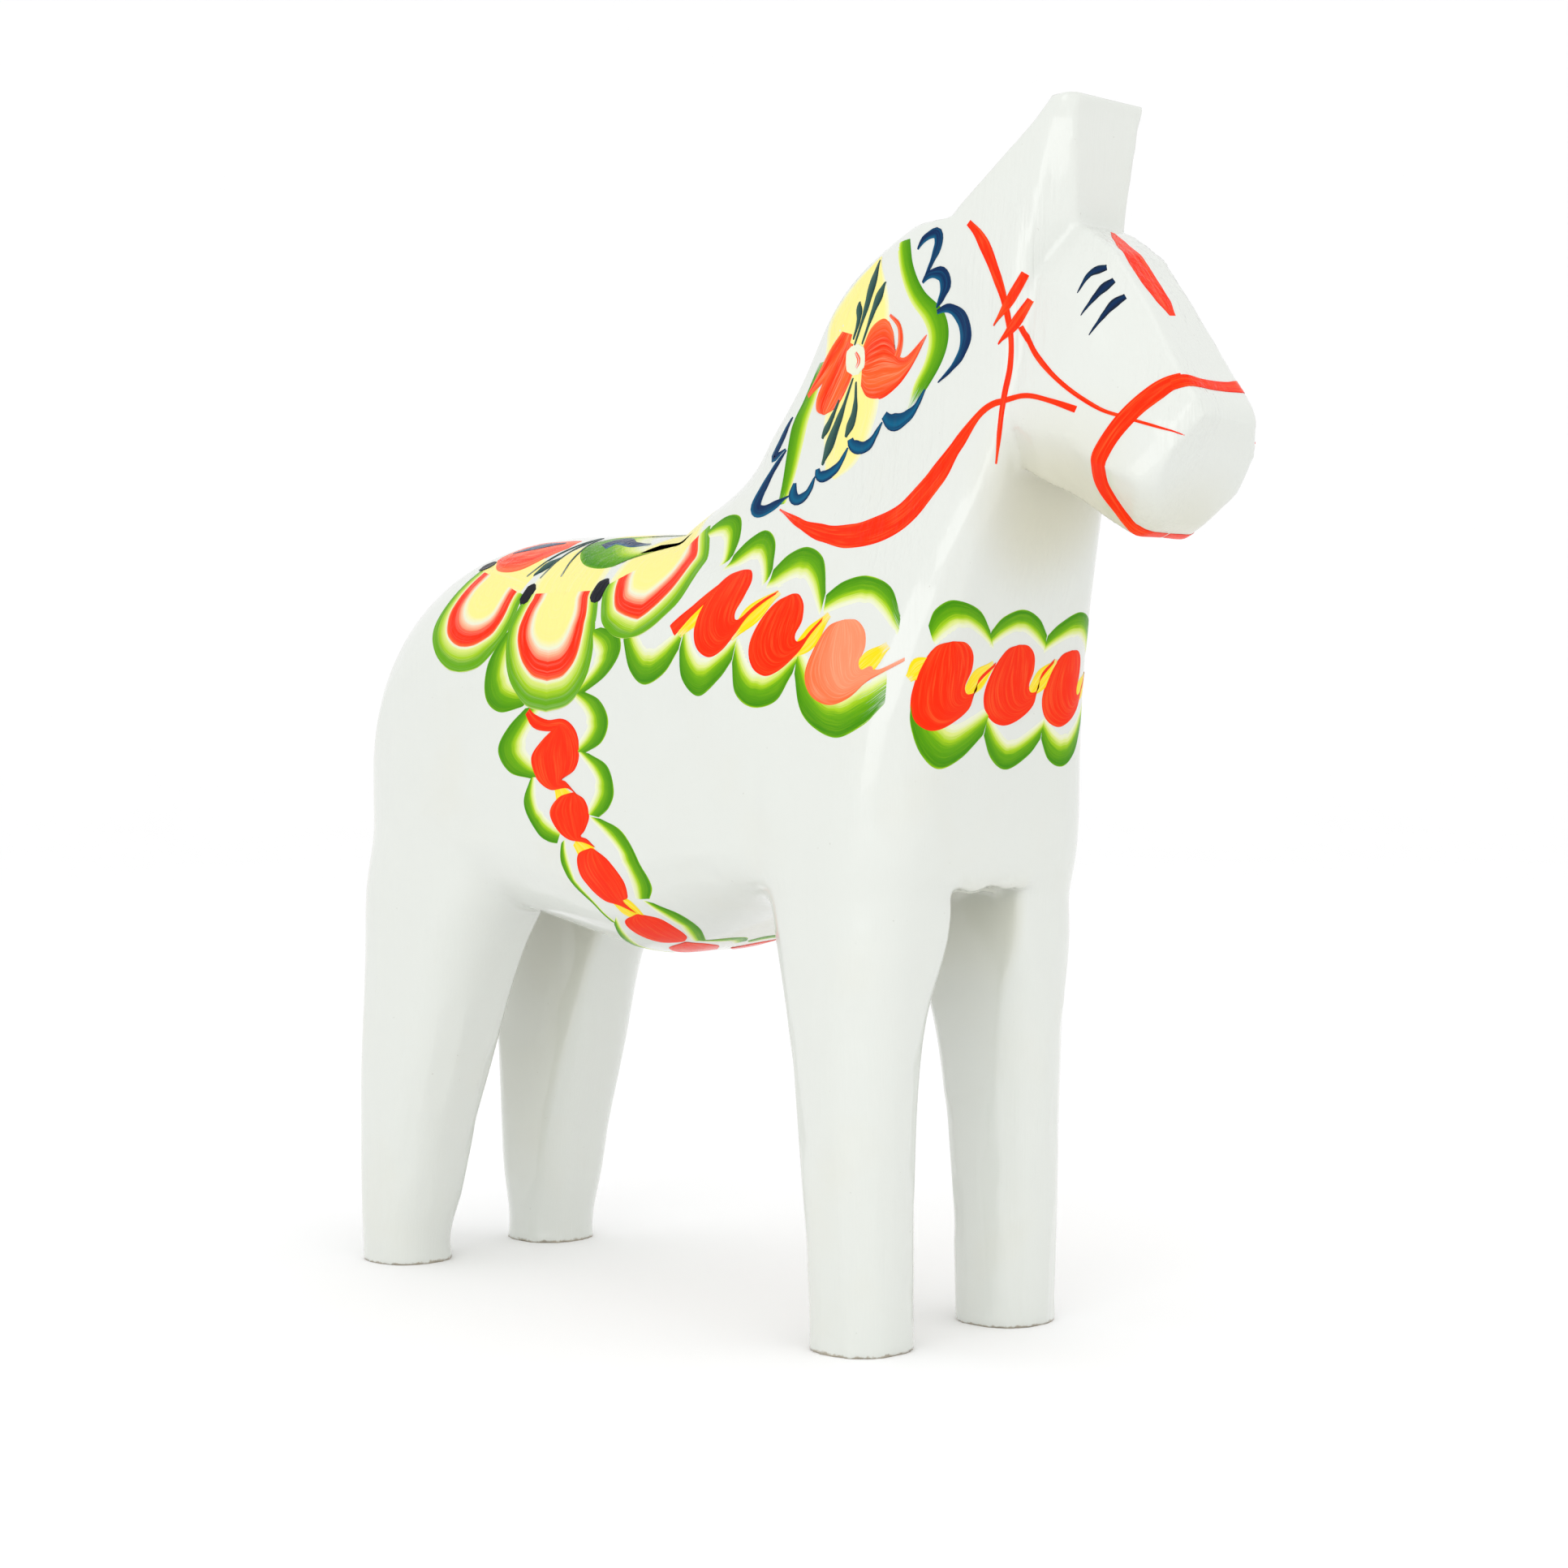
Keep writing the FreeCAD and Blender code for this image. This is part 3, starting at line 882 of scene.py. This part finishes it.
def back_flower():
    """The small flower on the spine, between the two halves of the saddle."""
    flower = Motif("back_flower")
    for side in (1, -1):
        def half(*places):
            return [(x, y * side, z) for x, y, z in places]

        flower.patch(half((-52, -19, 168), (-60, -26, 163.2), (-69, -26, 163), (-75, -21, 166)),
                     half((-52, -15, 170), (-60, -14, 170.3), (-69, -14, 169),
                          (-75, -20, 166.5)), "flame")
        flower.line(half((-56, -16, 169), (-64, -17, 168.4), (-72, -19, 167)),
                    (0.4, 1.8, 0.5), "navy", layer=3)
        flower.scallop(half((-21, -19, 167.6), (-30, -26, 163), (-40, -25.5, 163.6),
                            (-46.5, -20, 167.4), (-43, -14, 170), (-30, -13.5, 170)), layer=2)
        flower.line(half((-40.5, -19.5, 167.6), (-37.5, -16, 169.2), (-31, -18.5, 168),
                         (-25, -18.6, 168)), (2.4, 2.2, 1.4, 0.4), "navy", layer=3,
                    doses=(1, 0.9, 0.5))
        for tip_x, tip_y in ((-57, -27.5), (-52, -28.4), (-45, -28)):
            flower.line(half((-47, -13, 171), ((tip_x - 47) / 2, -21, 167),
                             (tip_x, tip_y, 161)), (0.25, 0.3, 0.2), "leaf", layer=4,
                        doses=(0.8, 0.8, 0.5))
        flower.line(half((-50, -22.5, 165.6), (-52.5, -25, 163.8), (-55, -27.5, 161.5)),
                    (0.3, 1.3, 0.2), "leaf", layer=4)
    flower.finish()


def girth(name, hand):
    """The strap round the barrel: leaf edges with red commas between them."""
    strap = Motif(name, hand)
    rear = (
        ((-50.5, 131.6), (-56, 127.4), (-59.5, 122), (-55.5, 117.2), (-48.2, 115.8)),
        ((-48.2, 115.8), (-50.3, 110), (-46, 104), (-42.5, 102), (-39, 101.5)),
        ((-37.6, 102), (-38.8, 97.2), (-35.6, 91.6), (-32, -29, 87.6), (-29.5, -25.5, 84)),
        ((-29.5, -25.5, 84), (-33, -19, 81.5), (-34.5, -12, 79), (-30.5, -6, 78)),
    )
    fore = (
        ((-31, 135.2), (-25, 133), (-22, 128.5), (-24, 124), (-29.7, 121.6)),
        ((-28.6, 121.6), (-22, 118.8), (-19.8, 113.5), (-21.5, 109.8), (-25, 107.5)),
        ((-24.4, 107.4), (-17, 104.6), (-12.5, -32.6, 98), (-11.2, -30.8, 93),
         (-13.6, -29.2, 90)),
        ((-13.2, -28.6, 89.2), (-8.6, -25, 86.5), (-8.4, -19.5, 83), (-13, -13, 80.4)),
        ((-13, -13, 80.4), (-9.5, -9, 79), (-9.5, -3, 77.6), (-13, 0, 77.2)),
    )
    for edge in rear + fore:
        strap.scallop(edge)
    for path in (((-39, 114.5), (-36, 110.5), (-32.5, 107)),
                 ((-33, 102.5), (-29, 99), (-25.5, -33.3, 95.8)),
                 ((-25, -31, 91), (-21, -28, 87.2), (-19.5, -25, 85))):
        strap.line(path, (1.4, 3, 1.6), "yellow", doses=(0.8, 1, 0.7))
    strap.line(
        ((-50, 131.2), (-47.2, 128.6), (-43, 127.6), (-37.5, 127.6), (-34, 124.6),
         (-32.6, 121.5)), (1, 1.5, 1.3, 1.4, 1.8, 1), "red", layer=2)
    commas = (
        (((-39, 128), (-44.5, 124.5), (-48.4, 120.5), (-46.5, 116), (-41.5, 113.4),
          (-35.5, 113.8), (-31.5, 112)),
         ((-39, 128), (-34.5, 126), (-31.8, 122), (-33, 118), (-37.5, 115.8),
          (-36, 115.2), (-31.5, 112))),
        (((-33.5, 113), (-38.5, 111.8), (-41.6, 108.6), (-39.5, 105), (-35.5, 102.6),
          (-30, 102), (-26.4, 101)),
         ((-33.5, 113), (-29.6, 111.4), (-28, 108), (-29.5, 104.8), (-31, 103.4),
          (-29, 102.8), (-26.4, 101))),
        (((-27.5, 101), (-32.4, 99.5), (-33.4, 96), (-31.4, 92.4), (-28, -30, 89.4),
          (-23.5, -29, 88.4), (-19.6, -27.4, 86.6)),
         ((-27.5, 101), (-22, 98), (-19, -32, 94), (-19.6, -30, 90.5),
          (-21.5, -29.6, 89.8), (-21, -28.8, 88.4), (-19.6, -27.4, 86.6))),
        (((-19.8, -27.4, 86.6), (-25.4, -26, 84.6), (-25.8, -22.5, 82.4),
          (-22.6, -18, 80.4), (-17, -15.8, 80.6)),
         ((-19.8, -27.4, 86.6), (-14.6, -25, 85.6), (-13.4, -21, 83.2),
          (-14.4, -17.5, 81.4), (-17, -15.8, 80.6))),
        (((-17, -15.5, 80.4), (-24, -14, 79.6), (-25.5, -8, 78), (-21, -2, 77.2)),
         ((-17, -15.5, 80.4), (-15, -11, 79.2), (-16, -6, 77.8), (-21, -2, 77.2))),
    )
    for outer, inner in commas:
        strap.patch(outer, inner, "red", layer=3)
    strap.finish()


def mane_panel(name, hand):
    """The painted mane: a flower on a yellow ground inside a green frame."""
    mane = Motif(name, hand)
    mane.patch(
        ((41.5, 224), (33, 219.5), (26, 212.5), (26.5, 206), (28.5, 198), (28, 189),
         (29.5, 180)),
        ((41.5, 224), (44.6, 216), (45.4, 209), (44.5, 200), (43, 190), (38.5, 181.5),
         (32.5, 178)), "wash", layer=0, doses=(1, 1, 0.9, 0.55))
    mane.patch(
        ((49.6, 226.8), (51.4, 220.4), (54.6, 215.2), (60, 210.6), (61.6, 205.6), (60.6, 200.8),
         (57.2, 195.6), (52.6, 191)),
        ((45.6, 226.2), (47.2, 219.6), (50.2, 213.2), (53.8, 209), (55.4, 205.6), (54.8, 201),
         (52.6, 196.4), (51, 190.6)), "green", soft=True, doses=(1, 1, 1, 0.9, 0.35))
    mane.patch(
        ((25.2, 203.5), (21.4, 196.4), (18.8, 191.8), (17.6, 185), (17, 173.6)),
        ((28, 203.5), (26, 196), (24, 190.6), (22.4, 184.6), (19.6, 173.8)), "green", soft=True,
        doses=(0.5, 1, 1, 1, 0.6))
    mane.patch(
        ((38.2, 205.4), (40.4, 209.4), (44, 211), (46.4, 208), (47.2, 204), (50, 202.2),
         (55.8, 206.4)),
        ((38, 197.4), (40.2, 194.6), (44.4, 194), (48.6, 196.2), (51, 198.6), (53, 201.4),
         (55.8, 206.2)), "flame", layer=2, doses=(1, 1, 0.95, 0.6))
    mane.line(
        ((45.2, 211.4), (48, 208.8), (48.6, 205.2), (47.6, 201.8)), (0.3, 0.5, 0.7, 0.9),
        "flame", layer=2, doses=(0.6, 0.8, 0.9))
    mane.patch(
        ((32.2, 209.4), (28.4, 205.6), (25, 200.4), (22, 196.4)),
        ((35.2, 208.6), (33.4, 204.4), (28.6, 200), (22.8, 195.6)), "flame", layer=2)
    mane.patch(
        ((33.6, 207.4), (29, 202), (25.8, 196.6), (25.6, 193.2), (28, 192)),
        ((35.4, 206.4), (35.8, 200.4), (34, 196.6), (31.4, 193.4), (28, 192)), "flame", layer=3)
    leaves = (
        ((41.4, 223.4), (39.2, 215), (35.6, 205.4), 1.3),
        ((43.9, 218.4), (40.8, 212.6), (37.8, 205.6), 1.1),
        ((36.6, 215.2), (36.6, 211), (35.2, 206.8), 1),
        ((36, 199.4), (32.4, 190.6), (28.4, 181.4), 1.5),
        ((36.8, 198.6), (36.8, 192), (34.6, 186.6), 1.3),
        ((32.4, 195.4), (30, 190.6), (27.8, 187), 1),
    )
    for top, middle, bottom, half in leaves:
        widths = (0.2, 0.9 * half, 0.55 * half, 0.3, 0.2)
        if top[1] < 206:
            widths = (0.2, 0.35, 0.6 * half, 0.85 * half, 0.3)
        mane.line((top, middle, bottom), widths, "leaf", layer=4, wobble=0.04)
    mane.line(
        ((36, 206.4), (36.3, 203), (36.6, 199.4)), (0.6, 2.8, 2.9, 2.8, 0.6), "cream", layer=5)
    mane.line(
        ((36, 204.8), (37.4, 202.6), (36.4, 200.6)), (0.3, 0.5, 0.3), "flame", layer=6,
        doses=(0.5, 0.6, 0.4))
    curls = (
        (((52, 223.8), (53.8, 226), (56.8, 226.8), (57.6, 224.6), (56.4, 221.2),
          (54.4, 217.8)), (0.25, 0.8, 1.2, 1, 0.5, 0.15)),
        (((53.8, 216.8), (55.8, 218.4), (59, 218.2), (60.2, 216), (59.4, 213.6),
          (57.8, 211)), (0.3, 0.9, 1.5, 1.5, 0.8, 0.15)),
        (((57.8, 210.4), (61.4, 211), (65, 208.6), (66.6, 204.8), (65.6, 201.2),
          (63, 198.4), (59.6, 196)), (0.5, 1, 1.5, 1.6, 1, 0.5, 0.15)),
        (((56.6, 195.4), (53.6, 191.2), (50, 189.2), (47.2, 189.2), (45.2, 190.8)),
         (0.2, 0.6, 1.3, 1.9, 1)),
        (((45, 189.4), (42, 185.4), (39.4, 184.4), (36.8, 185.2), (36, 186.8)),
         (0.2, 0.6, 1.2, 1.5, 0.8)),
        (((35.8, 185), (33.2, 181), (30, 179.2), (27.8, 179.4), (27.2, 181)),
         (0.2, 0.6, 1.1, 1.3, 0.6)),
        (((26.8, 179.4), (25.4, 176), (23, 174.6), (21.2, 175.6), (21, 178.4)),
         (0.2, 0.7, 1.2, 1.3, 0.5)),
        (((18, 192.6), (15.4, 188), (13, 184), (17.2, 185.8)), (0.3, 0.9, 0.9, 0.15)),
        (((17.4, 185.6), (13.8, 181.4), (11, 176.4), (10.6, 173.4), (13.6, 172.8),
          (20, 175.6)), (0.2, 0.7, 1.1, 1.5, 1.1, 0.2)),
    )
    for path, widths in curls:
        dark = path[0][0] < 19 or path[0][1] > 200
        mane.line(path, widths, "navy" if dark else "teal", layer=3, doses=(0.8, 1, 1, 1, 0.75))
    mane.finish()


def bridle(name, hand):
    """The thin red harness straps on one side of the head and neck."""
    strap = Motif(name, hand)
    strap.line(
        ((65, 228), (68.4, 224.8), (72, 219.6), (76, 212), (77.9, 204.4), (77.9, 198),
         (76.8, 191), (75, 178.6)), (0.7, 1.3, 1.1, 0.7, 0.55, 0.6, 0.5, 0.2), "red",
        doses=(1, 1, 1, 1, 0.7))
    strap.line(((80.2, 216.2), (77.6, 210.8), (73.8, 206)), (0.9, 1.1, 0.2), "red", layer=2)
    strap.line(((81, 211), (78.4, 205.8), (75.2, 202.2)), (0.8, 1.1, 0.2), "red", layer=2)
    strap.line(
        ((79.4, 205.8), (83.4, 199.6), (90.6, 193.4), (99, 188.2), (105.2, -14.7, 185.9),
         (111.2, -13.9, 184), (117, -11.2, 181.8)), (0.6, 0.6, 0.5, 0.45, 0.35, 0.3, 0.12),
        "red", doses=(1, 1, 0.9, 0.7))
    strap.line(
        ((94.7, 188), (88.4, 190.2), (82, 191.8), (77.6, 191.4), (71.6, 189), (65.6, 182.6),
         (60, 175.4), (54, 169.4), (46, 166.6), (38, 166.2), (28, 168.4), (17.8, 172.9)),
        (0.7, 0.5, 0.55, 0.8, 1.6, 2.6, 3.1, 3.1, 2.7, 1.9, 1, 0.2), "red",
        doses=(1, 1, 1, 1, 1, 0.6))
    strap.line(
        ((114.6, -8.8, 192.8), (111.4, -11.2, 191.2), (106.2, -14.5, 186.6), (102.6, -16, 182),
         (100.2, -16.8, 177), (98.8, -15.4, 172), (101, -11, 167.6), (103, -6, 164.8),
         (103.6, 0, 164.2)), (1.5, 2, 2, 1.9, 1.9, 2, 1.6, 1.3, 1), "red", layer=2)
    for path in (((96.6, -9.2, 216), (93.2, -10.8, 215), (91.4, -12.4, 211)),
                 ((98.4, -9.3, 213.4), (96, -10.8, 211.2), (93, -13.3, 206.4)),
                 ((101.2, -9.3, 210), (98.6, -10.8, 208), (95.2, -13.5, 202.4))):
        strap.line(path, (0.6, 0.95, 0.6, 0.3, 0.1), "ink_blue", doses=(1, 1, 0.65))
    strap.finish()


def forehead():
    """The red drop on the forehead and the noseband's run over the nose."""
    drop = Motif("forehead_drop")
    drop.line(
        ((89.8, 0.2, 224.8), (93.5, -1.4, 222), (97, -2.4, 219), (101, -2.8, 214.2),
         (103.8, -2.6, 210.6), (106.9, -2, 206.2)), (0.4, 1.8, 2.9, 3.2, 3.1, 2.6, 1.1), "red")
    drop.line(
        ((112.4, -10.4, 191.8), (115.2, -8, 192.6), (116, -4, 192.4), (116.1, 0, 192.3),
         (116, 4, 192.4), (115.2, 8, 192.6), (112.4, 10.4, 191.8)),
        (1.4, 1.5, 1.3, 1.25, 1.3, 1.5, 1.4), "red", layer=3)
    drop.finish()


for name, hand in (("right", 1), ("left", -1)):
    breast_band_side("breast_band_" + name, hand)
    saddle_side("saddle_" + name, hand)
    girth("girth_" + name, hand)
    mane_panel("mane_" + name, hand)
    bridle("bridle_" + name, hand)
breast_band_front()
back_flower()
forehead()


# -------- studio

LOOK_X, LOOK_Y, LOOK_Z = -0.7105, 0.7036, -0.0147     # the way the camera looks
FLOOR_NEAR, FLOOR_FAR, FLOOR_BEND = -4.0, 2.6, 1.4    # along that way, and the curve's radius
FLOOR_HALF_WIDTH = 6.0
WALL_TOP = 5.0


def studio_floor():
    """A wide pale floor that curves up far behind the horse."""
    bend = [(FLOOR_FAR + FLOOR_BEND * math.sin(a), FLOOR_BEND - FLOOR_BEND * math.cos(a))
            for a in (math.radians(9 * step) for step in range(1, 11))]
    profile = [(FLOOR_NEAR, 0.0), (FLOOR_FAR, 0.0)] + bend + [(FLOOR_FAR + FLOOR_BEND, WALL_TOP)]
    side = Vector((LOOK_Y, -LOOK_X, 0.0))
    away = Vector((LOOK_X, LOOK_Y, 0.0))
    points = []
    for along, up in profile:
        for across in (-FLOOR_HALF_WIDTH, FLOOR_HALF_WIDTH):
            points.append(away * along + side * across + Vector((0, 0, up)))
    faces = [(2 * i, 2 * i + 1, 2 * i + 3, 2 * i + 2) for i in range(len(profile) - 1)]
    mesh = bpy.data.meshes.new("studio_floor")
    mesh.from_pydata(points, [], faces)
    mesh.shade_smooth()
    material = bpy.data.materials.new("pale_floor")
    material.use_nodes = True
    tree = material.node_tree
    shader = tree.nodes["Principled BSDF"]
    shader.inputs["Roughness"].default_value = 0.9
    shader.inputs["Specular IOR Level"].default_value = 0.1
    cloud = speckle(tree, stretched(tree), 6.0, 2.0)
    tint = blend_colour(tree, cloud, (0.955, 0.955, 0.955, 1.0), (0.975, 0.975, 0.975, 1.0))
    tree.links.new(tint, shader.inputs["Base Color"])
    mesh.materials.append(material)
    new_object("studio_floor", mesh)


def aimed(name, data, place, look):
    """A light or a camera at a place, turned to look along a direction."""
    holder = new_object(name, data)
    holder.location = place
    holder.rotation_euler = Vector(look).to_track_quat("-Z", "Y").to_euler()
    return holder


def soft_light(name, place, target, size, power):
    """A square softbox that points at a target."""
    lamp = bpy.data.lights.new(name, "AREA")
    lamp.shape = "RECTANGLE"
    lamp.size = lamp.size_y = size
    lamp.energy = power
    aimed(name, lamp, place, Vector(target) - Vector(place))


def studio():
    """White surroundings, the floor and two weak softboxes."""
    studio_floor()
    scene = bpy.context.scene
    world = bpy.data.worlds.new("studio")
    scene.world = world
    world.use_nodes = True
    background = world.node_tree.nodes["Background"]
    background.inputs["Color"].default_value = (1.0, 1.0, 1.0, 1.0)
    background.inputs["Strength"].default_value = 1.05
    soft_light("key", (0.55, -1.05, 0.5), (0.0, 0.0, 0.13), 0.8, 2.6)
    soft_light("top", (0.6, -0.2, 1.1), (0.05, 0.0, 0.2), 0.7, 0.7)
    scene.view_settings.view_transform = "Standard"


def camera():
    """The camera stands in front of the horse's right shoulder, at half its height."""
    lens = bpy.data.cameras.new("camera")
    lens.sensor_width = 36.0
    lens.lens = 68.4
    lens.clip_start = 0.01
    bpy.context.scene.camera = aimed("camera", lens, (0.4634, -0.4608, 0.1244),
                                     (LOOK_X, LOOK_Y, LOOK_Z))


studio()
camera()
